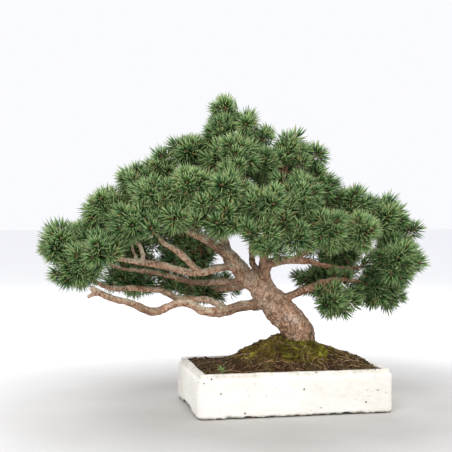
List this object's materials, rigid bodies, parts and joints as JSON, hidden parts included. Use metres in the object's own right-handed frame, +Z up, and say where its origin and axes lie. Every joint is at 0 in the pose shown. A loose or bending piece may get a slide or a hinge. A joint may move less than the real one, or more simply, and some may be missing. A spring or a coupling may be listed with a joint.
{
  "type": "potted bonsai tree",
  "caption": "Mountain pine bonsai with a leaning trunk, layered rounded needle pads and a mossy root mound, in a shallow rectangular white ceramic tray.",
  "frame": {"origin": "middle of the tray's flat underside, on the surface that it stands on", "axes": "+X along the tray's long side, to the right seen from the front; +Y from the front to the back; +Z up. The tree leans towards -X and -Y is the display side"},
  "size_m": [0.7376, 0.3531, 0.5863],
  "materials": {
    "glazed_clay": "matt white glaze, pitted and a little rough",
    "bark": "rough flaking pine bark, brown with paler patches on the branches",
    "needles": "satin green needles, paler at their tips",
    "soil": "dark damp organic soil with bark bits",
    "old_moss": "dull brown and olive moss, short and dense",
    "fresh_moss": "yellow-green moss cushions",
    "screen_plastic": "matt black plastic",
    "wire": "dull bare wire"
  },
  "bodies": {
    "root": {"anchor_wire": "wire", "drain_screen_left": "screen_plastic", "drain_screen_right": "screen_plastic", "foliage_apex": "needles", "foliage_back_centre": "needles", "foliage_back_far_right": "needles", "foliage_back_left": "needles", "foliage_back_left_low": "needles", "foliage_back_left_mid": "needles", "foliage_back_low_left": "needles", "foliage_back_low_left_end": "needles", "foliage_back_right": "needles", "foliage_back_right_up": "needles", "foliage_crown_back": "needles", "foliage_crown_front": "needles", "foliage_crown_left": "needles", "foliage_crown_left_front": "needles", "foliage_crown_mid": "needles", "foliage_crown_right": "needles", "foliage_front_centre": "needles", "foliage_front_left": "needles", "foliage_front_low": "needles", "foliage_front_mid": "needles", "foliage_front_right_centre": "needles", "foliage_front_right_low": "needles", "foliage_left_back": "needles", "foliage_left_front": "needles", "foliage_left_low": "needles", "foliage_left_mid_front": "needles", "foliage_left_shoulder": "needles", "foliage_left_tip": "needles", "foliage_left_top": "needles", "foliage_right_back_mid": "needles", "foliage_right_end": "needles", "foliage_right_end_top": "needles", "foliage_right_front": "needles", "foliage_right_hanging": "needles", "foliage_right_knob": "needles", "foliage_right_knob_side": "needles", "foliage_right_low": "needles", "foliage_right_low_back": "needles", "foliage_right_mid_front": "needles", "foliage_right_shoulder": "needles", "foliage_right_shoulder_front": "needles", "foliage_right_tip": "needles", "foliage_right_top": "needles", "foliage_saddle": "needles", "foliage_upper_left": "needles", "foliage_upper_left_back": "needles", "foliage_upper_left_front": "needles", "foliage_upper_left_tip": "needles", "moss_cushion_front": "fresh_moss", "moss_cushion_front_right": "fresh_moss", "moss_skin": "old_moss", "screen_staple_left": "wire", "screen_staple_right": "wire", "soil": "soil", "tray": "glazed_clay", "tree_wood": "bark"}
  },
  "joints": []
}
